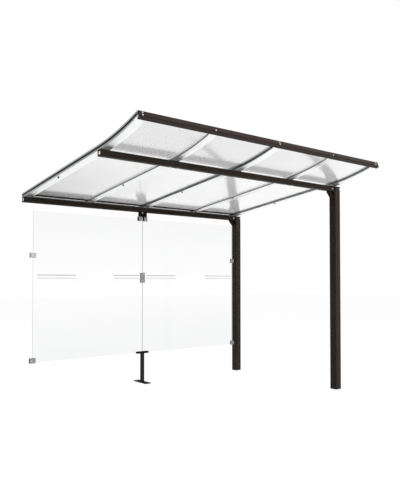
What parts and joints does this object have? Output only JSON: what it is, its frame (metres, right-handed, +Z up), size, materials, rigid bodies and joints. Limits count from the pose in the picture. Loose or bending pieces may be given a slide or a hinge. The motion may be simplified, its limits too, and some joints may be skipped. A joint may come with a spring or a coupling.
{
  "type": "bicycle shelter bay",
  "caption": "Add-on bay of a bicycle shelter: square posts at one end, beams, a translucent roof on curved glazing bars and a clipped glass back wall on a foot.",
  "frame": {"origin": "centre of the front post's foot at ground level", "axes": "+X along the bay towards the posts, +Y from the open front to the glass wall, +Z up"},
  "size_m": [2.746, 2.1798, 2.2404],
  "materials": {
    "posts": "satin powder coat",
    "beams": "satin powder coat",
    "brackets": "satin powder coat",
    "fascia": "satin powder coat",
    "trims": "satin powder coat",
    "glazing_bars": "mill finish",
    "cover_strips": "mill finish",
    "seals": "matt",
    "end_caps": "matt",
    "roof_sheets": "translucent gloss",
    "glass": "clear",
    "clips": "satin",
    "inserts": "zinc plated"
  },
  "bodies": {
    "root": {"front_post": "posts", "rear_post": "posts", "post_caps": "posts", "front_beam": "beams", "rear_beam": "beams", "beam_end_plates": "beams", "beam_end_inserts": "inserts", "front_gusset": "brackets", "rear_gusset": "brackets", "glazing_bar_left": "glazing_bars", "rafter_left": "glazing_bars", "glazing_bar_middle": "glazing_bars", "rafter_right": "glazing_bars", "glazing_bar_right": "glazing_bars", "seal_left": "seals", "seal_middle": "seals", "seal_right": "seals", "roof_sheet_left": "roof_sheets", "roof_sheet_right": "roof_sheets", "cover_strip_left": "cover_strips", "cover_strip_middle": "cover_strips", "cover_strip_right": "cover_strips", "bar_end_caps": "end_caps", "rear_trims": "trims", "front_fascia": "fascia", "front_saddles": "inserts", "rear_saddles": "inserts", "glass_left": "glass", "glass_right": "glass", "glass_hanger": "brackets", "hanger_clip_left": "clips", "hanger_clip_right": "clips", "joint_clip": "clips", "left_clip_upper": "clips", "left_clip_lower": "clips", "right_clip_upper": "clips", "right_clip_lower": "clips", "foot_channel": "brackets", "foot_leg": "brackets", "foot_base_plate": "brackets"}
  },
  "joints": []
}
